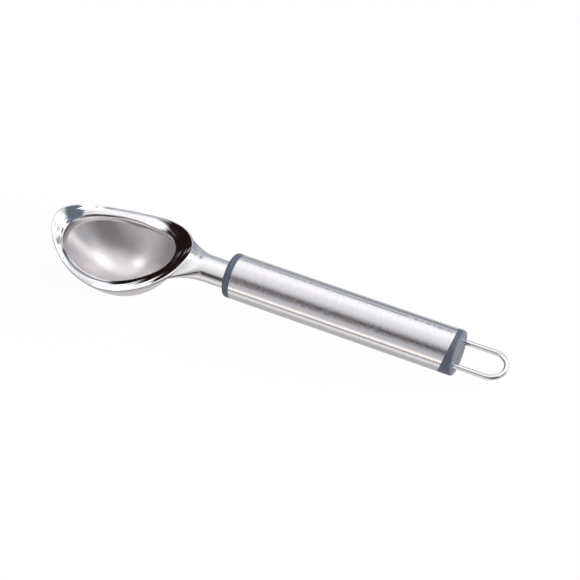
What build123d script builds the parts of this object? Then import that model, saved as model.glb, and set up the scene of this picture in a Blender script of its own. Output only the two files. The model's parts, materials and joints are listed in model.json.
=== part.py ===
from build123d import *
import os
from math import atan2, cos, degrees, radians, sin

os.makedirs("parts", exist_ok=True)

# The scoop is drawn along its handle: +X runs on the handle's axis from the bowl to the hanging
# loop, X = 0 is the front end of the tube, and +Z points out of the open side of the bowl.
# At the end the whole scoop is laid down on the bottom of the bowl and the tail of the handle.

# Handle tube
tube_diameter = 20.0
tube_wall = 0.8
tube_length = 97.7
tail_slant = 13.2

# Collar at the front of the tube
collar_width = 3.5
collar_rounding = 1.3
collar_plug_length = 16.0

# Cap at the tail of the tube
cap_length = 5.0
cap_rounding = 0.9
cap_plug_length = 11.0
cap_pocket_diameter = 10.4
cap_end_wall = 3.2

# Hanging loop of round wire
wire_diameter = 2.3
loop_spacing = 13.7
loop_reach = 21.8
loop_seat_depth = 11.0

# Oval neck of the cast head, a little below the handle's axis, and the round tang that goes through
# the collar into the tube
neck_width = 13.5
neck_height = 9.8
neck_drop = 1.3
neck_length = 11.0
tang_diameter = 8.0
tang_flats = 6.6
tang_seat_depth = 5.0
tang_length = 20.0
tang_bore_depth = 14.0
flare_length = 10.5
flare_half_width = 11.5
flare_half_height = 3.2
flare_rise = 0.4
flare_sweep = 2.2

# Bowl: two half ellipses seen from above, narrowing downwards to a round bottom
bowl_front = 31.8
bowl_back = 34.8
bowl_half_width = 29.0
bowl_depth = 30.5
bowl_wall = 5.0
bowl_power = 0.45
tip_height = 0.5

# Rim: seen from the side, its edge dips between the tip and the crest at the neck
rim_dip = 9.9
rim_dip_offset = 3.4
rim_tip_power = 2.5
crest_back = 34.1
crest_rise = 2.1
crest_power = 2.0
lip_width = 6.0
lip_back_width = 8.4
tip_slope_drop = 7.2

# Tie rod, washers and nut that pull the head against the tube
rod_diameter = 5.0
rod_tip_length = 1.5
nut_flats = 8.0
nut_height = 4.0
washer_diameter = 10.0
washer_thickness = 1.0
lock_washer_diameter = 8.8
lock_washer_thickness = 1.2
lock_washer_slit = 1.0
tail_plug_length = 14.0

# Sealing rings
seal_thickness = 1.2
seal_groove_width = 1.6
tail_seal_setback = 2.0

# Gaps between pieces that fit into each other
fit_gap = 0.1
seal_gap = 0.05

# How far a cutting tool runs past what it cuts
overrun = 12.0

tube_radius = tube_diameter / 2
tube_bore = tube_radius - tube_wall
tang_radius = tang_diameter / 2
rod_radius = rod_diameter / 2
wire_radius = wire_diameter / 2
seal_radius = seal_thickness / 2
loop_radius = loop_spacing / 2

flare_start = -collar_width - neck_length
crest_x = flare_start - flare_length
bowl_x = crest_x - crest_back
tip_x = bowl_x - bowl_front
dip_x = bowl_x - rim_dip_offset
dip_z = tip_height - rim_dip
bowl_bottom = tip_height - bowl_depth
bowl_top = tip_height + rim_dip

seat_end = tang_seat_depth
tang_end = seat_end + tang_length
front_seal_x = seat_end / 2

cap_face = tube_length + cap_length
cap_plug_front = tube_length - cap_plug_length
tail_seal_x = cap_plug_front + tail_seal_setback
nut_front = cap_plug_front + fit_gap
nut_end = nut_front + nut_height
lock_washer_front = nut_front - lock_washer_thickness
washer_front = lock_washer_front - washer_thickness
rod_end = nut_end + rod_tip_length

tail_plane = Plane(
    origin=(tube_length, 0, 0),
    z_dir=(cos(radians(tail_slant)), 0, -sin(radians(tail_slant))),
)


def bar(radius, start, end):
    """A round bar on the handle's axis."""
    return extrude(Plane.YZ.offset(start) * Circle(radius), end - start)


def flatted_bar(radius, flats, start, end):
    """A round bar with two flats, so that it can't turn in a bore of the same shape."""
    section = Circle(radius) & Rectangle(2 * radius, flats)
    return extrude(Plane.YZ.offset(start) * section, end - start)


def groove(floor_radius, x):
    """The square groove that a sealing ring lies in."""
    start = x - seal_groove_width / 2
    end = x + seal_groove_width / 2
    return bar(tube_diameter, start, end) - bar(floor_radius, start, end)


def ring(outer_radius, x):
    """A sealing ring about the handle's axis, given the radius that it reaches out to."""
    return Plane.YZ.offset(x) * Torus(outer_radius - seal_radius, seal_radius)


def bowl_curve(half_width, bottom_z, top_z, full_height):
    """Half section of a bowl: its half width grows with height as a power, from a round bottom."""
    top_share = (top_z - bottom_z) / full_height
    steps = 9
    points = []
    for step in range(steps + 1):
        width_share = top_share**bowl_power * step / steps
        height_share = width_share ** (1 / bowl_power)
        points.append((half_width * width_share, bottom_z + full_height * height_share))
    slope = bowl_power * half_width / full_height * top_share ** (bowl_power - 1)
    return Spline(points, tangents=[(1, 0), (slope, 1)])


def half_egg(outline, half_width, reach, towards):
    """Half a bowl shape: the half section turned about the upright axis, stretched to its reach."""
    half_turn = revolve(Plane.XZ * make_face(outline), Axis.Z, 180)
    return scale(half_turn.rotate(Axis.Z, -90 * towards), (reach / half_width, 1, 1))


def bowl_body():
    """The bowl's outside, filled, from its bottom to above its rim."""
    curve = bowl_curve(bowl_half_width, bowl_bottom, bowl_top, bowl_depth)
    outline = curve + Polyline(curve @ 1, (0, bowl_top), curve @ 0)
    front = half_egg(outline, bowl_half_width, bowl_front, -1)
    back = half_egg(outline, bowl_half_width, bowl_back, 1)
    return Pos(bowl_x, 0, 0) * (front + back)


def bowl_hollow():
    """The hollow of the bowl, and the slope that leads down into it from the tip."""
    rim_half_width = bowl_half_width * ((dip_z - bowl_bottom) / bowl_depth) ** bowl_power
    half_width = rim_half_width - lip_width
    hollow_front = bowl_front - lip_width
    hollow_back = bowl_back - lip_back_width
    floor_z = bowl_bottom + bowl_wall
    slope_z = tip_height - tip_slope_drop
    curve = bowl_curve(half_width, floor_z, slope_z, slope_z - floor_z)
    spread = half_width * lip_width / hollow_front * (bowl_top - slope_z) / tip_slope_drop
    sloped = Polyline(curve @ 1, (half_width + spread, bowl_top), (0, bowl_top), curve @ 0)
    upright = Polyline(curve @ 1, (half_width, bowl_top), (0, bowl_top), curve @ 0)
    front = half_egg(curve + sloped, half_width, hollow_front, -1)
    back = half_egg(curve + upright, half_width, hollow_back, 1)
    return Pos(bowl_x, 0, 0) * (front + back)


def rim_height(x):
    """Height of the rim's edge, seen from the side."""
    if x < dip_x:
        return dip_z + rim_dip * ((dip_x - x) / (dip_x - tip_x)) ** rim_tip_power
    rise = tip_height + crest_rise - dip_z
    return dip_z + rise * ((x - dip_x) / (crest_x - dip_x)) ** crest_power


def above_rim():
    """All that lies above the rim, from beyond the tip to beyond the crest."""
    steps = 7
    points = []
    for step in range(-steps, steps + 1):
        end_x = tip_x if step < 0 else crest_x
        x = dip_x + (end_x - dip_x) * 1.1 * abs(step) / steps
        points.append((x, rim_height(x)))
    curve = Spline(points)
    top_z = bowl_top + overrun
    outline = curve + Polyline(curve @ 1, (points[-1][0], top_z), (points[0][0], top_z), curve @ 0)
    return extrude(Plane.XZ * make_face(outline), bowl_half_width + overrun, both=True)


def flare():
    """The end of the neck, spreading flat like a fish tail into the back of the bowl."""
    sections = []
    steps = 4
    for step in range(steps + 2):
        share = step / steps
        spread = share**2
        section = Ellipse(
            neck_width / 2 + (flare_half_width - neck_width / 2) * spread,
            neck_height / 2 + (flare_half_height - neck_height / 2) * spread,
        )
        x = flare_start - flare_length * share - flare_sweep * spread
        drop = neck_drop - (neck_drop + flare_rise) * spread
        sections.append(Plane.YZ.offset(x) * Pos(0, -drop) * section)
    return loft(sections)


def scoop_head():
    """Bowl, neck and tang, cast in one."""
    body = split(bowl_body(), Plane.YZ.offset(crest_x), keep=Keep.BOTTOM)
    body += flare()
    body -= above_rim()
    body -= bowl_hollow()
    neck_section = Pos(0, -neck_drop) * Ellipse(neck_width / 2, neck_height / 2)
    body += extrude(Plane.YZ.offset(flare_start) * neck_section, neck_length)
    body += bar(tang_radius, -collar_width, seat_end)
    body += flatted_bar(tang_radius, tang_flats, seat_end, tang_end)
    body -= bar(rod_radius, tang_end - tang_bore_depth, tang_end)
    return body - groove(tang_radius + fit_gap - seal_gap - seal_thickness, front_seal_x)


def front_seal():
    """The ring that keeps water out between the tang and the collar."""
    return ring(tang_radius + fit_gap - seal_gap, front_seal_x)


def front_collar():
    """The coloured ring before the tube, with the plug that centres the head in the tube."""
    edge_ring = bar(tube_radius, -collar_width, 0)
    front_edge = edge_ring.edges().filter_by(GeomType.CIRCLE).sort_by(Axis.X)[0]
    edge_ring = fillet(front_edge, collar_rounding)
    plug = bar(tube_bore - fit_gap, 0, collar_plug_length)
    bore = bar(tang_radius + fit_gap, -collar_width, seat_end)
    keyed_bore = flatted_bar(
        tang_radius + fit_gap, tang_flats + 2 * fit_gap, seat_end, collar_plug_length
    )
    return edge_ring + plug - bore - keyed_bore


def handle_tube():
    """The brushed tube, square at the front and cut at a slant at the tail."""
    length = tube_length + tube_radius
    return split(bar(tube_radius, 0, length) - bar(tube_bore, 0, length), tail_plane, Keep.BOTTOM)


def tie_rod():
    """The rod from the bottom of the tang's bore to just past the nut."""
    return bar(rod_radius, tang_end - tang_bore_depth, rod_end)


def tail_plug():
    """The plug pressed into the tube, which the nut pulls against."""
    start = washer_front - tail_plug_length
    return bar(tube_bore, start, washer_front) - bar(rod_radius + fit_gap, start, washer_front)


def washer(radius, front, thickness):
    """A plain washer on the tie rod."""
    end = front + thickness
    return bar(radius, front, end) - bar(rod_radius + fit_gap, front, end)


def lock_washer():
    """A split washer under the nut."""
    whole = washer(lock_washer_diameter / 2, lock_washer_front, lock_washer_thickness)
    slit_z = lock_washer_diameter / 2
    slit = Pos(lock_washer_front, 0, slit_z) * Box(tube_radius, lock_washer_slit, 2 * slit_z)
    return whole - slit


def tail_nut():
    """The hexagon nut at the end of the tie rod."""
    hexagon = RegularPolygon(nut_flats / 2, 6, major_radius=False)
    body = extrude(Plane.YZ.offset(nut_front) * hexagon, nut_height)
    return body - bar(rod_radius, nut_front, nut_end)


def leg_places():
    return (-loop_radius, loop_radius)


def end_cap():
    """The coloured cap that closes the tube and holds the two legs of the hanging loop."""
    button = bar(tube_radius, tube_length - tube_radius, cap_face)
    rear_edge = button.edges().filter_by(GeomType.CIRCLE).sort_by(Axis.X)[-1]
    button = split(fillet(rear_edge, cap_rounding), tail_plane, Keep.TOP)
    plug_end = tube_length + cap_length / 2
    plug = split(bar(tube_bore - fit_gap, cap_plug_front, plug_end), tail_plane, Keep.BOTTOM)
    cap = button + plug
    cap -= bar(cap_pocket_diameter / 2, cap_plug_front, cap_face - cap_end_wall)
    cap -= groove(tube_bore - seal_gap - seal_thickness, tail_seal_x)
    for y in leg_places():
        cap -= Pos(0, y, 0) * bar(wire_radius, cap_face - loop_seat_depth, cap_face)
    return cap


def tail_seal():
    """The ring that keeps water out between the cap and the tube."""
    return ring(tube_bore - seal_gap, tail_seal_x)


def hanging_loop():
    """One round wire bent to a U, with both legs set in the cap."""
    start = cap_face - loop_seat_depth
    bend_start = cap_face + loop_reach - wire_radius - loop_radius
    near_leg = Line((start, -loop_radius), (bend_start, -loop_radius))
    bend = ThreePointArc(
        near_leg @ 1, (bend_start + loop_radius, 0), (bend_start, loop_radius)
    )
    far_leg = Line(bend @ 1, (start, loop_radius))
    section = Plane(origin=near_leg @ 0, z_dir=(1, 0, 0)) * Circle(wire_radius)
    return sweep(section, path=near_leg + bend + far_leg)


def lying_tilt():
    """Angle by which the handle's tail goes down until it and the bowl's bottom lie level."""
    curve = bowl_curve(bowl_half_width, bowl_bottom, dip_z, bowl_depth)
    stretch = bowl_back / bowl_half_width
    steps = 400
    bottom_points = [curve @ (step / steps) for step in range(steps)]
    tail_x = cap_face - cap_rounding
    tail_z = cap_rounding - tube_radius
    tilt = 0
    for _ in range(20):
        touching = min(
            bottom_points,
            key=lambda point: point.Y * cos(tilt) - (bowl_x + point.X * stretch) * sin(tilt),
        )
        touch_x = bowl_x + touching.X * stretch
        foot_x = tail_x - cap_rounding * sin(tilt)
        foot_z = tail_z - cap_rounding * cos(tilt)
        tilt = atan2(foot_z - touching.Y, foot_x - touch_x)
    return degrees(tilt)


pieces = {
    "scoop_head": scoop_head(),
    "front_seal": front_seal(),
    "front_collar": front_collar(),
    "handle_tube": handle_tube(),
    "tie_rod": tie_rod(),
    "tail_plug": tail_plug(),
    "tail_washer": washer(washer_diameter / 2, washer_front, washer_thickness),
    "lock_washer": lock_washer(),
    "tail_nut": tail_nut(),
    "tail_seal": tail_seal(),
    "end_cap": end_cap(),
    "hanging_loop": hanging_loop(),
}

# The scoop is turned down about the handle's side axis, then moved so that the lowest points are
# at Z = 0 and the middle of its length is at X = 0.
tilt = lying_tilt()
laid = {name: shape.rotate(Axis.Y, tilt) for name, shape in pieces.items()}
boxes = [shape.bounding_box() for shape in laid.values()]
lowest = min(box.min.Z for box in boxes)
middle = (min(box.min.X for box in boxes) + max(box.max.X for box in boxes)) / 2
for name, shape in laid.items():
    export_step(Pos(-middle, 0, -lowest) * shape, f"parts/{name}.step")
print(f"tilt {tilt:.4f} degrees, middle {middle:.4f}, lowest {lowest:.4f}")
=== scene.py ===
import json
import math

import bpy
import numpy as np
from mathutils import Matrix, Vector


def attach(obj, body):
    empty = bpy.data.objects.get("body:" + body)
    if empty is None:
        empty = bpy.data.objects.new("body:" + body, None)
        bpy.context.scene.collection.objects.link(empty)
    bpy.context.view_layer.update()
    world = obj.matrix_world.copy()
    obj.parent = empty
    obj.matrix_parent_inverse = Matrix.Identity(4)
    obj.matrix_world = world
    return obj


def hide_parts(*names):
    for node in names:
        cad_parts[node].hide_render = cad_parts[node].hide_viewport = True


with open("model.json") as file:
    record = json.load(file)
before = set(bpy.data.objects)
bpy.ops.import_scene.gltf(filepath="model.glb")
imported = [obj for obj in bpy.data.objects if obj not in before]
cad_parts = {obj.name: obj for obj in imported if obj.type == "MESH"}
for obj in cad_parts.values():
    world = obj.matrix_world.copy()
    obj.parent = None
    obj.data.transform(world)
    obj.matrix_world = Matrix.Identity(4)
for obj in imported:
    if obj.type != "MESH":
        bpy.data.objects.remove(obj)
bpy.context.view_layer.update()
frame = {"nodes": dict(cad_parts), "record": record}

mm = 0.001
print("frame loaded:", len(frame["nodes"]), "nodes")


# The handle's own axes: x runs along the handle from the neck to the loop, 0 where the tube
# starts, z points up out of the bowl. The record's grip gives their place in the frame.

grip = next(m for m in frame["record"]["mounts"] if m["name"] == "handle_grip")
gripMiddle = 49.8  # mm along the handle from the tube's start to the middle of the grip
gripAxis = np.array(grip["axis"])
handleAxes = np.array([gripAxis, (0, 1, 0), (-gripAxis[2], 0, gripAxis[0])])
handleStart = np.array(grip["pos_m"]) - gripAxis * gripMiddle * mm


def toFrame(points):
    # handle axes in mm, to the frame in metres: turned by the handle's tilt, then moved
    return np.asarray(points) * mm @ handleAxes + handleStart


# Curves: each takes whole arrays

def smoothStep(t):
    # 3t^2 - 2t^3 with t kept between 0 and 1
    t = np.clip(t, 0, 1)
    return t * t * (3 - 2 * t)


def blendPoints(a, b, t):
    # straight from a to b
    return a + (b - a) * t


def quadCurve(a, b, c, t):
    # the curve from a to c that leaves and arrives along the lines to b
    return (1 - t) ** 2 * a + 2 * t * (1 - t) * b + t * t * c


def joinCurve(a, leave, b, arrive, t):
    # the cubic from a to b that starts along one vector and ends along the other
    return ((2 * t**3 - 3 * t**2 + 1) * a + (t**3 - 2 * t**2 + t) * leave
            + (3 * t**2 - 2 * t**3) * b + (t**3 - t**2) * arrive)


# Meshes

def gridFaces(rows, columns):
    # quads between neighbouring rows of closed rings, and a fan of triangles to a pole at each end
    i, j = np.meshgrid(np.arange(rows - 1), np.arange(columns), indexing="ij")
    k = (j + 1) % columns
    here, beyond = i * columns, (i + 1) * columns
    quads = np.stack([here + j, here + k, beyond + k, beyond + j], -1)
    ring, following = np.arange(columns), (np.arange(columns) + 1) % columns
    last, pole = (rows - 1) * columns, rows * columns
    fans = [np.stack([following, ring, np.full(columns, pole)], -1),
            np.stack([last + ring, last + following, np.full(columns, pole + 1)], -1)]
    return quads.reshape(-1, 4), np.concatenate(fans)


def signedVolume(points, quads):
    # sum of the solids that the quads span with the middle: negative if they face inwards
    p = points - points.mean(0)
    a, b, c, d = (p[quads[:, n]] for n in range(4))
    return np.einsum("ij,ij->", np.cross(c - a, d - b), (a + b + c + d) / 24)


def closedPiece(name, grid, material, replaced, attributes):
    # a grid of closed rings becomes one closed mesh whose faces point outwards; an attribute has
    # one value for each point of the grid
    rows, columns = grid.shape[:2]
    points = np.concatenate([grid.reshape(-1, 3), grid[0].mean(0)[None], grid[-1].mean(0)[None]])
    quads, fans = gridFaces(rows, columns)
    if signedVolume(points, quads) < 0:
        quads, fans = quads[:, ::-1], fans[:, ::-1]
    mesh = bpy.data.meshes.new(name)
    mesh.vertices.add(len(points))
    mesh.vertices.foreach_set("co", toFrame(points).astype(np.float32).ravel())
    corners = np.concatenate([quads.ravel(), fans.ravel()]).astype(np.int32)
    starts = np.concatenate([np.arange(len(quads)) * 4,
                             len(quads) * 4 + np.arange(len(fans)) * 3])
    mesh.loops.add(len(corners))
    mesh.loops.foreach_set("vertex_index", corners)
    mesh.polygons.add(len(starts))
    mesh.polygons.foreach_set("loop_start", starts.astype(np.int32))
    mesh.update(calc_edges=True)
    mesh.validate()
    mesh.shade_smooth()
    for key, values in attributes.items():
        values = np.concatenate([values.ravel(), [values[0].mean(), values[-1].mean()]])
        layer = mesh.attributes.new(key, "FLOAT", "POINT")
        layer.data.foreach_set("value", values.astype(np.float32))
    piece = bpy.data.objects.new(name, mesh)
    bpy.context.scene.collection.objects.link(piece)
    mesh.materials.append(material)
    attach(piece, "root")
    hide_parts(*replaced)
    print(name, "made")


# Shader maths: a wrapped socket takes part in Python sums

class Shade:
    def __init__(self, tree, socket=None):
        self.tree, self.socket = tree, socket

    def add(self, kind, settings=None, inputs=None, out=0):
        # any node: its settings first, then the values or links of its sockets
        node = self.tree.nodes.new(kind)
        for key, value in (settings or {}).items():
            if key == "stops":
                self.setStops(node.color_ramp, value)
            else:
                setattr(node, key, value)
        for key, value in (inputs or {}).items():
            if isinstance(value, Shade):
                self.tree.links.new(value.socket, node.inputs[key])
            else:
                node.inputs[key].default_value = value
        return Shade(self.tree, node.outputs[out]) if node.outputs else None

    def setStops(self, ramp, stops):
        # a ramp's places and colours
        while len(ramp.elements) < len(stops):
            ramp.elements.new(0.5)
        for element, (place, colour) in zip(ramp.elements, stops):
            element.position = place
            element.color = colour

    def maths(self, operation, a, b=0.0):
        return self.add("ShaderNodeMath", {"operation": operation}, {0: a, 1: b})

    def vector(self, operation, a, b=(0.0, 0.0, 0.0), out=0):
        key = "Scale" if operation == "SCALE" else 1
        return self.add("ShaderNodeVectorMath", {"operation": operation}, {0: a, key: b}, out)

    def dot(self, a, b):
        return self.vector("DOT_PRODUCT", a, b, "Value")

    def blend(self, factor, a, b):
        # colour a where the factor is 0, b where it is 1 or more
        return self.add("ShaderNodeMix", {"data_type": "RGBA"}, {0: factor, 6: a, 7: b}, 2)

    def step(self, value, low, high):
        # smooth step from 0 at low to 1 at high
        return self.add("ShaderNodeMapRange", {"interpolation_type": "SMOOTHSTEP"},
                        {"Value": value, "From Min": low, "From Max": high})

    def noise(self, place, scale, detail=2.0, roughness=0.5):
        return self.add("ShaderNodeTexNoise", {"noise_dimensions": "3D"},
                        {"Vector": place, "Scale": scale, "Detail": detail,
                         "Roughness": roughness}, "Fac")

    def attribute(self, name):
        # a number that the mesh carries
        return self.add("ShaderNodeAttribute", {"attribute_name": name}, out="Fac")

    def bump(self, height, depth, strength=1.0):
        # depth in mm
        return self.add("ShaderNodeBump", None,
                        {"Strength": strength, "Distance": depth * mm, "Height": height})

    def lamp(self, colour, strength):
        # light that comes from the world
        return self.add("ShaderNodeBackground", None, {"Color": colour, "Strength": strength})

    def ray(self, kind):
        # 1 for rays of one kind
        return self.add("ShaderNodeLightPath", out=kind)

    def either(self, factor, a, b):
        # shader a where the factor is 0, b where it is 1
        return self.add("ShaderNodeMixShader", None, {0: factor, 1: a, 2: b})

    def __add__(self, other): return self.maths("ADD", self, other)
    def __radd__(self, other): return self.maths("ADD", other, self)
    def __sub__(self, other): return self.maths("SUBTRACT", self, other)
    def __rsub__(self, other): return self.maths("SUBTRACT", other, self)
    def __mul__(self, other): return self.maths("MULTIPLY", self, other)
    def __rmul__(self, other): return self.maths("MULTIPLY", other, self)
    def __truediv__(self, other): return self.maths("DIVIDE", self, other)
    def __rtruediv__(self, other): return self.maths("DIVIDE", other, self)
    def __pow__(self, other): return self.maths("POWER", self, other)
    def __rpow__(self, other): return self.maths("POWER", other, self)


def newTree(owner):
    owner.use_nodes = True
    owner.node_tree.nodes.clear()
    return Shade(owner.node_tree)


def tint(colour, share=1.0):
    # a colour as sockets take it, darker or lighter by a share
    return (*[value * share for value in colour], 1)


def shownTint(colour):
    # the same from a colour as it is shown, 0 to 255, to linear light
    return tint([(value / 255) ** 2.2 for value in colour])


def handlePlace(s, stretch=(1, 1, 1)):
    # place on the handle's axes in mm, stretched
    turn = math.atan2(-gripAxis[2], gripAxis[0])
    laid = s.add("ShaderNodeMapping", {"vector_type": "TEXTURE"},
                 {"Vector": s.add("ShaderNodeTexCoord", out="Object"),
                  "Location": tuple(handleStart), "Rotation": (0, turn, 0), "Scale": (mm, mm, mm)})
    return s.vector("MULTIPLY", laid, stretch)


# Bowl: at each angle round it, 0 at the neck, a path from the hollow's floor up its wall, over the
# ledge, along the polished lip, round the rim's edge and down the outside to the bottom

bowl = {
    # sizes in mm on the handle's axes. The egg, whose half axes go as a power of the height
    "centre": -58.05, "halfLength": 32.8, "halfWidth": 29.0, "depth": 30.4, "tipHeight": 0.5,
    "power": 0.45,
    # the rim's height: its dip, its rise to the tip and to the crest, and the neck's swell
    "dipX": -60.9, "dipDepth": 10.0, "tipPower": 2.5, "crestPower": 1.6, "crestRise": 0.55,
    "swell": 1.7, "swellWidth": 6.5,
    # the ledge round the hollow, lifted on the near side, with places in degrees from the neck
    "ledgeCentre": -59.0, "ledgeLength": 26.0, "ledgeWidth": 18.1,
    "ledgeTip": -6.7, "ledgeSide": -8.8, "ledgeBack": -2.5, "ledgeRound": 1.6,
    "ledgeLift": 1.6, "liftPlace": 48, "liftSpread": 25,
    # the hollow: thickness under its floor, and its wall, set in and down from the ledge
    "wall": 5.0, "hollowPower": 0.45, "hollowShift": 0.5, "wallDrop": 1.6, "wallInset": 0.25,
    # the lip's bulge at the sides and the ends, and the rim's edge, thicker towards the neck
    "lipBulge": 0.9, "endBulge": 0.1, "edgeWidth": 0.5, "edgeDrop": 0.5,
    "backDrop": 1.2, "backSpread": 0.62, "backExtra": 2.0, "backReach": 9.0,
    # painted shade: dark lines along the ledge and the rim, strongest on the near side
    "ledgeShadeNear": 2.0, "ledgeShadeTip": 1.8, "ledgeShadeFar": 92, "ledgeShadeFarSpread": 24, "ledgeShadeSunk": 1.8,
    "ledgeShadeWidth": 0.45, "ledgeShadeTipWider": 2.2, "ledgeShadeFarWider": 0.6,
    "ledgeShadeNearStrength": 0.9, "ledgeShadeFarStrength": 0.8, "rimShade": 0.8, "rimTipShare": 0.6, "rimWidth": 0.4,
    # the mesh, and its smallest ring as a share of the widest
    "around": 320, "hollowRows": 56, "ledgeRows": 12, "lipRows": 28, "edgeRows": 10,
    "outerRows": 60, "poleRing": 0.02,
}


def rimHeight(x, y):
    # lowest at dipX: from there it rises to the tip and to the crest by a power of the way along,
    # and a narrow swell lifts it where the neck comes in
    b = bowl
    low = b["tipHeight"] - b["dipDepth"]
    toTip = (b["dipX"] - x) / (b["dipX"] - b["centre"] + b["halfLength"])
    toCrest = (x - b["dipX"]) / (b["centre"] + b["halfLength"] - b["dipX"])
    tipRise = np.clip(toTip, 0, 2) ** b["tipPower"] * b["dipDepth"]
    crestRise = np.clip(toCrest, 0, 2) ** b["crestPower"] * (b["dipDepth"] + b["crestRise"])
    swell = b["swell"] * np.exp(-(y / b["swellWidth"]) ** 2) * (x > b["centre"])
    return low + tipRise + crestRise + swell


def eggPoint(angle, share):
    # an ellipse that grows with height: half axes go as the height's share to a power
    b = bowl
    grow = np.clip(share, 0, None) ** b["power"]
    x = b["centre"] + b["halfLength"] * grow * np.cos(angle)
    y = b["halfWidth"] * grow * np.sin(angle)
    z = b["tipHeight"] + b["depth"] * (share - 1)
    return np.stack(np.broadcast_arrays(x, y, z), -1)


def ellipseNormal(angle):
    # flat outward normal of the bowl's ellipse
    b = bowl
    n = np.stack([np.cos(angle) / b["halfLength"], np.sin(angle) / b["halfWidth"], angle * 0], -1)
    return n / np.linalg.norm(n, axis=-1, keepdims=True)


def rimCurve(angle):
    # where the egg meets the rim's height, found by half steps to it, and the share of the height
    b = bowl
    halfSteps = 60
    share = np.ones_like(angle)
    for _ in range(halfSteps):
        p = eggPoint(angle, share)
        wanted = 1 + (rimHeight(p[..., 0], p[..., 1]) - b["tipHeight"]) / b["depth"]
        share = (share + wanted) / 2
    return eggPoint(angle, share), share


def fromNeck(angle):
    # the angle from the neck, between -pi and pi
    return (angle + np.pi) % (2 * np.pi) - np.pi


def backShare(angle):
    # 1 at the neck, falling off to both sides
    return np.exp(-(fromNeck(angle) / bowl["backSpread"]) ** 2)


def rimEdge(angle):
    # the lip's outer end, the corner it is rounded off from, and the share of the height where
    # the rounding meets the outside
    b = bowl
    rim, rimShare = rimCurve(angle)
    out, back = ellipseNormal(angle), backShare(angle)
    lipEnd = rim - out * b["edgeWidth"] * (1 - back[..., None])
    corner = rim + out * b["backExtra"] * back[..., None]
    return lipEnd, corner, rimShare - (b["edgeDrop"] + b["backDrop"] * back) / b["depth"]


def flank(angle, share):
    # the egg, moved out at the neck near the rim
    b = bowl
    rimShare = rimCurve(angle)[1]
    fade = 1 - smoothStep((rimShare - share) * b["depth"] / b["backReach"])
    moved = b["backExtra"] * backShare(angle) * fade
    return eggPoint(angle, share) + ellipseNormal(angle) * moved[..., None]


def outside(angle, way):
    # from the lip's end, way 0, round the edge to way 1, then down the outside, 1 for each mm
    lipEnd, corner, edgeShare = rimEdge(angle)
    edge = quadCurve(lipEnd, corner, flank(angle, edgeShare), np.clip(way, 0, 1)[..., None])
    below = flank(angle, edgeShare - np.clip(way - 1, 0, None) / bowl["depth"])
    return np.where(way[..., None] < 1, edge, below)


def ledgeCurve(angle):
    # an ellipse in plan; its height goes from side to tip and to back by the cosine squared, and
    # a bell curve of the angle lifts it on the near side
    b = bowl
    end = np.where(np.cos(angle) < 0, b["ledgeTip"], b["ledgeBack"])
    turn = np.degrees(np.abs(fromNeck(angle)))
    lift = np.clip(-np.sin(angle), 0, 1) * np.exp(-((turn - b["liftPlace"]) / b["liftSpread"]) ** 2)
    x = b["ledgeCentre"] + b["ledgeLength"] * np.cos(angle)
    z = blendPoints(b["ledgeSide"], end, np.cos(angle) ** 2) + b["ledgeLift"] * lift
    return np.stack([x, b["ledgeWidth"] * np.sin(angle), z], -1)


def paintedShadeLines(angle, travel, rimRow):
    # painted shade: a dark line that winds along the ledge and a thin line on the rim's near edge,
    # stronger on the near side: bell curves of the way travelled from the ledge in mm
    b = bowl
    near, tip = np.clip(-np.sin(angle), 0, 1), np.clip(-np.cos(angle), 0, 1)
    far = np.exp(-((np.degrees(angle) - b["ledgeShadeFar"]) / b["ledgeShadeFarSpread"]) ** 2)
    middle = b["ledgeShadeNear"] * near + b["ledgeShadeTip"] * near * tip - b["ledgeShadeSunk"] * far
    width = b["ledgeShadeWidth"] * (1 + b["ledgeShadeTipWider"] * near * tip + b["ledgeShadeFarWider"] * far)
    strength = np.clip(b["ledgeShadeNearStrength"] * np.sqrt(near) + b["ledgeShadeFarStrength"] * far, 0, 1)
    ledgeShade = strength * np.exp(-((travel - middle) / width) ** 2)
    rimStrength = b["rimShade"] * np.clip(near + b["rimTipShare"] * tip, 0, 1)
    rimShadeLine = rimStrength * np.exp(-((travel - travel[rimRow]) / b["rimWidth"]) ** 2)
    return np.maximum(ledgeShade, rimShadeLine)


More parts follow.
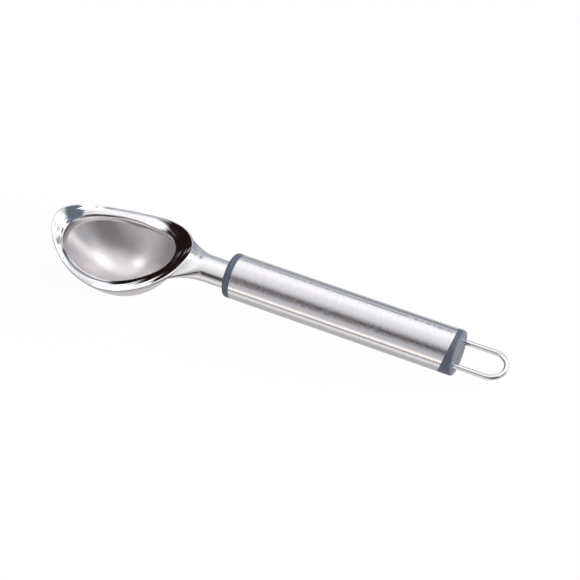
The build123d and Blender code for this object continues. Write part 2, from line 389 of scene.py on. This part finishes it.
def bowlGrid():
    # the rings' points, how satin they are, their place across the lip, and the painted shade lines
    b = bowl
    angle = np.arange(b["around"]) / b["around"] * 2 * np.pi
    lipEnd, _, edgeShare = rimEdge(angle)
    ledge = ledgeCurve(angle)
    up = np.array([0, 0, 1.0])
    rows, polished = [], []

    # hollow: the same kind of egg below the ledge, which grows from the floor to the ledge
    floorZ = b["tipHeight"] - b["depth"] + b["wall"]
    inset = ellipseNormal(angle) * b["wallInset"]
    wallTop = ledge - up * b["ledgeRound"] * b["wallDrop"] - inset
    for grow in np.linspace(b["poleRing"], 1, b["hollowRows"]):
        height = grow ** (1 / b["hollowPower"])
        centre = blendPoints(b["centre"] - b["hollowShift"], b["ledgeCentre"], height)
        x = centre + (wallTop[:, 0] - b["ledgeCentre"]) * grow
        z = blendPoints(floorZ, wallTop[:, 2], height)
        rows.append(np.stack([x, wallTop[:, 1] * grow, z], -1))
        polished.append(0.0)

    # ledge, rounded over into the lip, which bulges a little, then the rim's edge and the outside
    lipWidth = np.linalg.norm(lipEnd - ledge, axis=-1, keepdims=True)
    lipStart = blendPoints(ledge, lipEnd, b["ledgeRound"] / lipWidth)
    for t in np.linspace(0, 1, b["ledgeRows"] + 1)[1:]:
        rows.append(quadCurve(wallTop, ledge, lipStart, t))
        polished.append(smoothStep(t))
    bulge = b["lipBulge"] * np.sin(angle) ** 2 + b["endBulge"] * np.cos(angle) ** 2
    middle = (lipStart + lipEnd) / 2 + up * bulge[:, None]
    for t in np.linspace(0, 1, b["lipRows"] + 1)[1:]:
        rows.append(quadCurve(lipStart, middle, lipEnd, t))
    for t in np.linspace(0, 1, b["edgeRows"] + 1)[1:]:
        rows.append(outside(angle, np.full_like(angle, t)))
    for t in np.linspace(1, b["poleRing"], b["outerRows"] + 1)[1:]:
        rows.append(flank(angle, edgeShare * t ** (1 / b["power"])))
    polished += [1.0] * (len(rows) - len(polished))

    grid = np.array(rows)
    satin = 1 - np.broadcast_to(np.array(polished)[:, None], grid.shape[:2])
    steps = np.linalg.norm(np.diff(grid, axis=0, prepend=grid[:1]), axis=-1)
    # the ripples' place across the lip, which stays as it is beyond the rim
    rimRow = b["hollowRows"] + b["ledgeRows"] + b["lipRows"] + b["edgeRows"] // 2
    across = np.cumsum(steps * (1 - satin), axis=0)
    across[rimRow:] = across[rimRow]
    travel = np.cumsum(steps, axis=0)
    travel -= travel[b["hollowRows"] + b["ledgeRows"] // 2 - 1]
    return grid, satin, across, paintedShadeLines(angle, travel, rimRow)


# Neck: a flatted tang and an oval bar that spreads like a trumpet and lands on the bowl's back, at
# the top on the rim's rounded edge and below it on the outside

neck = {
    # sizes in mm on the handle's axes. The bar, and the tang inside the collar and the tube
    "halfWidth": 6.75, "halfHeight": 4.9, "drop": 1.3, "start": -3.5, "flareStart": -14.5,
    "tangRadius": 4.0, "tangFlat": 3.3, "tangSeat": 5.0, "tangEnd": 25.0,
    # where it lands: degrees to each side, the way down the bowl's outside at top and bottom
    "footSpread": 27.0, "footTop": 0.25, "footBottom": 3.6, "footCorner": 0.35,
    "footAhead": 0.02, "footLean": 6.0, "pullNeck": 12.0, "pullFoot": 10.0,
    # the closed end inside the bowl's wall
    "sink": (-0.6, 0, -0.3), "capShrink": 0.4,
    # duller towards the bowl's back, where a polishing wheel doesn't reach
    "satin": 0.1, "rootSatin": 0.55, "rootSpread": 14,
    "around": 192, "tangRows": 8, "seatRows": 5, "barRows": 14, "flareRows": 48,
}


def neckFoot(turn, ahead):
    # on the bowl: its angle goes with the ring's side, its way down with the ring's depth, which
    # a rounded corner softens at the top
    n = neck
    k, height = n["footCorner"], np.sin(turn)
    depth = (np.sqrt(height ** 2 + k * k) - height) / (math.sqrt(1 + k * k) + 1)
    angle = math.radians(n["footSpread"]) * np.cos(turn) * (1 + ahead)
    way = blendPoints(n["footTop"], n["footBottom"], depth) - height * ahead * n["footLean"]
    return outside(angle, np.clip(way, 0, None))


def neckGrid():
    # the rings' points, and how satin they are
    n = neck
    turn = np.arange(n["around"]) / n["around"] * 2 * np.pi
    circle = np.stack([turn * 0, np.cos(turn), np.sin(turn)], -1)
    tang = circle * n["tangRadius"]
    flatted = tang.copy()
    flatted[:, 2] = np.clip(tang[:, 2], -n["tangFlat"], n["tangFlat"])
    ring = circle * (0, n["halfWidth"], n["halfHeight"]) - (0, 0, n["drop"])
    rows = []
    for section, first, last, count in ((flatted, "tangEnd", "tangSeat", "tangRows"),
                                        (tang, "tangSeat", "start", "seatRows"),
                                        (ring, "start", "flareStart", "barRows")):
        rows += [section + (x, 0, 0) for x in np.linspace(n[first], n[last], n[count])]

    # flare: a cubic that starts along the bar and ends along the bowl's outside
    start, end = rows[-1], neckFoot(turn, 0.0)
    along = neckFoot(turn, n["footAhead"]) - end
    along /= np.linalg.norm(along, axis=1, keepdims=True)
    leave = np.array([-1.0, 0, 0]) * n["pullNeck"]
    rows += [joinCurve(start, leave, end, along * n["pullFoot"], t)
             for t in np.linspace(0, 1, n["flareRows"] + 1)[1:]]
    landed = len(rows) - 1
    sunk = end + n["sink"]
    rows += [sunk, blendPoints(sunk, sunk.mean(0), n["capShrink"])]

    fromBowl = np.clip(landed - np.arange(len(rows)), 0, None)
    root = np.exp(-(fromBowl / n["rootSpread"]) ** 2)
    satin = blendPoints(n["satin"], n["rootSatin"], root)
    return np.array(rows), np.repeat(satin[:, None], n["around"], 1)


# Finishes: each gives the inputs of one shader. Noise scales are for each mm.

polish = {
    "steel": (0.80, 0.79, 0.81), "roughness": 0.045, "cloudScale": 0.12, "cloudShare": 0.02,
    # the last colour on the next line is painted shade: the dark lines along the ledge and the rim
    "satinSteel": (0.69, 0.668, 0.68), "satinRoughness": 0.36, "paintedShadeSteel": (0.085, 0.095, 0.115),
    "rippleAlong": 0.03, "rippleAcross": 0.45, "rippleDepth": 0.3,
    "fineScale": 3.0, "fineShare": 0.02,
}


def polishedInputs(s):
    k = polish
    satin = s.attribute("satin")
    place = handlePlace(s)
    # polishing ripples along the lip: noise that changes quickly across it and slowly along it
    along = s.vector("MULTIPLY", place, (k["rippleAlong"],) * 3)
    moved = s.add("ShaderNodeCombineXYZ", None, {"X": s.attribute("across") * k["rippleAcross"]})
    ripple = s.noise(s.vector("ADD", along, moved), 1.0)
    height = ripple + s.noise(place, k["fineScale"]) * k["fineShare"]
    cloud = (s.noise(place, k["cloudScale"], 3) - 0.5) * k["cloudShare"]
    roughness = k["roughness"] + satin * (k["satinRoughness"] - k["roughness"]) + cloud
    colour = s.blend(satin, tint(k["steel"]), tint(k["satinSteel"]))
    # painted shade: the edge attribute darkens the steel in lines along the ledge and the rim
    colour = s.blend(s.attribute("edge"), colour, tint(k["paintedShadeSteel"]))
    return {"Base Color": colour, "Metallic": 1.0, "Roughness": roughness,
            "Normal": s.bump(height, k["rippleDepth"])}


brush = {
    "steel": (0.79, 0.772, 0.80), "shade": 0.94, "shadeFrom": 0.3, "shadeTo": 0.7,
    "roughness": 0.16, "fineShare": 0.1, "lean": 0.54,
    "fine": (9.0, 0.12, 0.12), "fineDetail": 0.7, "broad": (1.4, 0.22, 0.22), "broadDetail": 0.6,
}


def brushedInputs(s):
    # turning marks round the tube: noise that changes quickly along the tube and slowly round it
    # leans the normal along the tube
    k = brush
    fine = s.noise(handlePlace(s, k["fine"]), 1.0, 3, k["fineDetail"])
    broad = s.noise(handlePlace(s, k["broad"]), 1.0, 3, k["broadDetail"])
    lean = s.vector("SCALE", tuple(gripAxis), (fine + broad - 1) * k["lean"])
    normal = s.vector("ADD", s.add("ShaderNodeNewGeometry", out="Normal"), lean)
    worn = s.step(broad, k["shadeFrom"], k["shadeTo"])
    return {"Base Color": s.blend(worn, tint(k["steel"], k["shade"]), tint(k["steel"])),
            "Metallic": 1.0, "Roughness": k["roughness"] + (fine - 0.5) * k["fineShare"],
            "Normal": s.vector("NORMALIZE", normal)}


plastic = {
    "colour": (0.132, 0.152, 0.200), "darker": 0.92, "lighter": 1.08,
    "roughness": 0.38, "cloudScale": 0.25, "cloudShare": 0.08,
    "grainScale": 6.0, "grainDepth": 0.1, "grainStrength": 0.15,
}


def plasticInputs(s):
    k = plastic
    place = handlePlace(s)
    cloud = s.noise(place, k["cloudScale"], 3)
    grain = s.noise(place, k["grainScale"])
    colour = s.blend(cloud, tint(k["colour"], k["darker"]), tint(k["colour"], k["lighter"]))
    return {"Base Color": colour, "Roughness": k["roughness"] + (cloud - 0.5) * k["cloudShare"],
            "Normal": s.bump(grain, k["grainDepth"], k["grainStrength"])}


wire = {"steel": polish["steel"], "drawn": (0.15, 5.0, 5.0), "roughness": 0.05, "drawnShare": 0.06}


def wireInputs(s):
    # drawn wire, then polished: faint marks along the legs
    k = wire
    drawn = s.noise(handlePlace(s, k["drawn"]), 1.0, 3)
    return {"Base Color": tint(k["steel"]), "Metallic": 1.0,
            "Roughness": k["roughness"] + drawn * k["drawnShare"]}


rubber = {"colour": (0.02, 0.02, 0.022), "grainScale": 4.0, "roughness": 0.55, "grainShare": 0.2}


def rubberInputs(s):
    k = rubber
    grain = s.noise(handlePlace(s), k["grainScale"], 3)
    return {"Base Color": tint(k["colour"]), "Roughness": k["roughness"] + grain * k["grainShare"]}


plated = {
    "colour": (0.62, 0.62, 0.6), "darker": 0.85, "stretch": (2.0, 0.6, 0.6),
    "roughness": 0.25, "cloudShare": 0.15,
}


def platedInputs(s):
    k = plated
    cloud = s.noise(handlePlace(s, k["stretch"]), 1.0, 4)
    return {"Base Color": s.blend(cloud, tint(k["colour"], k["darker"]), tint(k["colour"])),
            "Metallic": 1.0, "Roughness": k["roughness"] + cloud * k["cloudShare"]}


core = {
    "colour": (0.72, 0.71, 0.68), "darker": 0.94, "cloudScale": 0.5,
    "roughness": 0.5, "cloudShare": 0.1,
}


def coreInputs(s):
    k = core
    cloud = s.noise(handlePlace(s), k["cloudScale"], 3)
    return {"Base Color": s.blend(cloud, tint(k["colour"], k["darker"]), tint(k["colour"])),
            "Roughness": k["roughness"] + cloud * k["cloudShare"]}


def finish(name, makeInputs):
    # a material with one shader
    material = bpy.data.materials.new(name)
    s = newTree(material)
    shader = s.add("ShaderNodeBsdfPrincipled", None, makeInputs(s))
    s.add("ShaderNodeOutputMaterial", None, {"Surface": shader})
    return material


# by the record's slots
finishes = {
    "polished_head": finish("polishedHead", polishedInputs),
    "brushed_tube": finish("brushedTube", brushedInputs),
    "grey_plastic": finish("greyPlastic", plasticInputs),
    "polished_wire": finish("polishedWire", wireInputs),
    "seal_rubber": finish("sealRubber", rubberInputs),
    "plated_steel": finish("platedSteel", platedInputs),
    "core_plastic": finish("corePlastic", coreInputs),
}
nodeFinish = {
    "scoop_head": "polished_head",
    "front_seal": "seal_rubber",
    "front_collar": "grey_plastic",
    "handle_tube": "brushed_tube",
    "tie_rod": "plated_steel",
    "tail_plug": "core_plastic",
    "tail_washer": "plated_steel",
    "lock_washer": "plated_steel",
    "tail_nut": "plated_steel",
    "tail_seal": "seal_rubber",
    "end_cap": "grey_plastic",
    "hanging_loop": "polished_wire",
}
print("finishes made")

# edge: painted shade lines along the ledge and the rim, which darken the bowl's steel
bowlPoints, satin, across, edge = bowlGrid()
closedPiece("bowl", bowlPoints, finishes["polished_head"], ["scoop_head"],
            {"satin": satin, "across": across, "edge": edge})
neckPoints, satin = neckGrid()
closedPiece("neck", neckPoints, finishes["polished_head"], ["scoop_head"],
            {"satin": satin})
for key, node in frame["nodes"].items():
    for slot in node.material_slots:
        slot.material = finishes[nodeFinish[key]]
print("nodes finished")


# Camera: from the near side, above and to the right of the middle

shot = {
    "aim": (4.85, 5.6, 16.0), "distance": 780.5, "azimuth": 32.42, "elevation": 45.99,
    "roll": -10.19, "lens": 111.72, "sensor": 36,
}


def makeCamera():
    c = shot
    data = bpy.data.cameras.new("camera")
    data.lens = c["lens"]
    data.sensor_width = c["sensor"]
    camera = bpy.data.objects.new("camera", data)
    bpy.context.scene.collection.objects.link(camera)
    a, e = math.radians(c["azimuth"]), math.radians(c["elevation"])
    back = Vector((math.sin(a) * math.cos(e), -math.cos(a) * math.cos(e), math.sin(e)))
    roll = Matrix.Rotation(math.radians(c["roll"]), 3, "Z")
    turn = back.to_track_quat("Z", "Y").to_matrix() @ roll
    eye = Vector(c["aim"]) * mm + back * c["distance"] * mm
    camera.matrix_world = Matrix.Translation(eye) @ turn.to_4x4()
    bpy.context.scene.camera = camera


makeCamera()
print("camera set")


# Studio: a pale floor and a plain soft light. Metal mirrors a room of its own: bands round the
# handle's axis, bright overhead and behind, darker above the camera, with grey, brown and slate
# screens and two lamps in front of them.

studio = {
    # the floor: half its side in m, its colour, and the plain white that the camera sees in it
    "floorHalf": 4, "floorColour": 0.8, "floorShare": 0.92, "floorWhite": 1.04,
    # the plain light: its strength, its even share, and two broad lights with the share of each,
    # the power that narrows it and where it comes from
    "plain": 5.0, "even": 0.016,
    "lights": {"tail": (1.0, 4.0, (0.98, 0.1, 0.16)), "top": (0.04, 1.0, (0, 0.5, 0.866))},
    # the room's strength, and its bands: place round the handle's axis in degrees, 0 at the
    # camera's side and 90 overhead, with the grey shown there and how much bluer than red it is
    "peak": 1.3,
    "bands": (
        (-180, 160, 6), (-150, 190, -2), (-120, 178, -6), (-90, 170, -2), (-61, 172, 4),
        (-44, 225, 0), (-35, 222, -6), (-31, 120, 4), (-26, 130, 4), (-21, 262, -18),
        (-14, 258, -14), (-8, 205, -4), (-2, 187, 2), (8, 184, 6), (16, 174, 4), (26, 156, 4),
        (38, 145, 4), (48, 155, 4), (60, 190, 2), (70, 212, 0), (90, 230, -1), (110, 250, 0),
        (125, 255, -2), (140, 236, 3), (152, 206, 6), (162, 184, 12), (172, 168, 12), (180, 160, 6),
    ),
    # screens: direction in degrees, 0 along the handle and 90 behind it, its height, the radius
    # of the full colour and of the soft edge, and the colour shown
    "screens": {
        "brownFront": (-46, 16, 20, 46, (68, 62, 60)),
        "greyFront": (-114, 33, 3, 26, (160, 156, 157)),
        "neckLow": (-107, 24, 2, 7, (82, 78, 76)),
        "neckMiddle": (-108, 34, 2, 7, (68, 64, 62)),
        "neckHigh": (-109, 44, 2, 7, (66, 62, 60)),
        "brownLoop": (-90, 36, 4, 10, (44, 39, 37)),
        "brownLow": (146, 17, 17, 24, (34, 27, 25)),
        "greyTip": (173, 24, 6, 22, (96, 91, 93)),
        "lampNear": (-165, 50, 5, 17, (350, 343, 338)),
        "lampTail": (50, 44, 8, 26, (370, 362, 358)),
        "brownFar": (101, 29, 2, 6, (70, 64, 61)),
        "slateFar": (101, 0, 3, 8, (96, 102, 112)),
        "whiteTail": (46, 4, 30, 44, (253, 251, 250)),
        "slateHigh": (10, 19, 13, 20, (92, 100, 112)),
        "slateLow": (20, -3, 6, 12, (108, 115, 127)),
        "slateUnder": (50, -9, 4, 9, (112, 122, 136)),
        "slateSide": (62, 7, 3, 7, (150, 153, 160)),
        "slateNear": (80, 17, 5, 11, (112, 119, 130)),
        "slateTop": (62, 50, 4, 8, (128, 132, 140)),
    },
}
black, white = (0, 0, 0, 1), (1, 1, 1, 1)


def bandColour(shown, bluer):
    return shownTint((shown - bluer / 2, shown, shown + bluer / 2))


def makeWorld():
    # mirrored rays see the room, the camera sees white, and all else gets the plain light
    w = studio
    world = bpy.data.worlds.new("studio")
    bpy.context.scene.world = world
    s = newTree(world)
    direction = s.add("ShaderNodeTexCoord", out="Generated")
    up, near = s.dot(direction, (0, 0, 1)), s.dot(direction, (0, -1, 0))
    place = s.maths("ARCTAN2", up, near) / (2 * math.pi) + 0.5
    stops = [(angle / 360 + 0.5, bandColour(*shown)) for angle, *shown in w["bands"]]
    room = s.add("ShaderNodeValToRGB", {"stops": stops}, {0: place})
    for azimuth, height, inner, outer, shown in w["screens"].values():
        a, e = math.radians(azimuth), math.radians(height)
        towards = (math.cos(a) * math.cos(e), math.sin(a) * math.cos(e), math.sin(e))
        rim, full = math.cos(math.radians(outer)), math.cos(math.radians(inner))
        room = s.blend(s.step(s.dot(direction, towards), rim, full), room, shownTint(shown))
    plain = w["even"]
    for share, power, towards in w["lights"].values():
        plain = s.maths("MAXIMUM", s.dot(direction, towards), 0.0) ** power * share + plain
    rays = s.either(s.ray("Is Glossy Ray"), s.lamp(s.blend(plain, black, white), w["plain"]),
                    s.lamp(room, w["peak"]))
    seen = s.either(s.ray("Is Camera Ray"), rays, s.lamp(white, 1.0))
    s.add("ShaderNodeOutputWorld", None, {"Surface": seen})


def makeFloor():
    # diffuse, with a share of plain white for the camera, so that the shadow stays faint
    w = studio
    half = w["floorHalf"]
    mesh = bpy.data.meshes.new("floor")
    corners = [(-half, -half, 0), (half, -half, 0), (half, half, 0), (-half, half, 0)]
    mesh.from_pydata(corners, [], [(0, 1, 2, 3)])
    floor = bpy.data.objects.new("floor", mesh)
    bpy.context.scene.collection.objects.link(floor)
    floor.visible_glossy = False
    material = bpy.data.materials.new("paleFloor")
    s = newTree(material)
    matt = s.add("ShaderNodeBsdfDiffuse", None, {"Color": tint((w["floorColour"],) * 3)})
    glow = s.add("ShaderNodeEmission", None, {"Color": white, "Strength": w["floorWhite"]})
    surface = s.either(s.ray("Is Camera Ray") * w["floorShare"], matt, glow)
    s.add("ShaderNodeOutputMaterial", None, {"Surface": surface})
    mesh.materials.append(material)


makeWorld()
makeFloor()
bpy.context.scene.view_settings.view_transform = "Standard"
print("studio made")
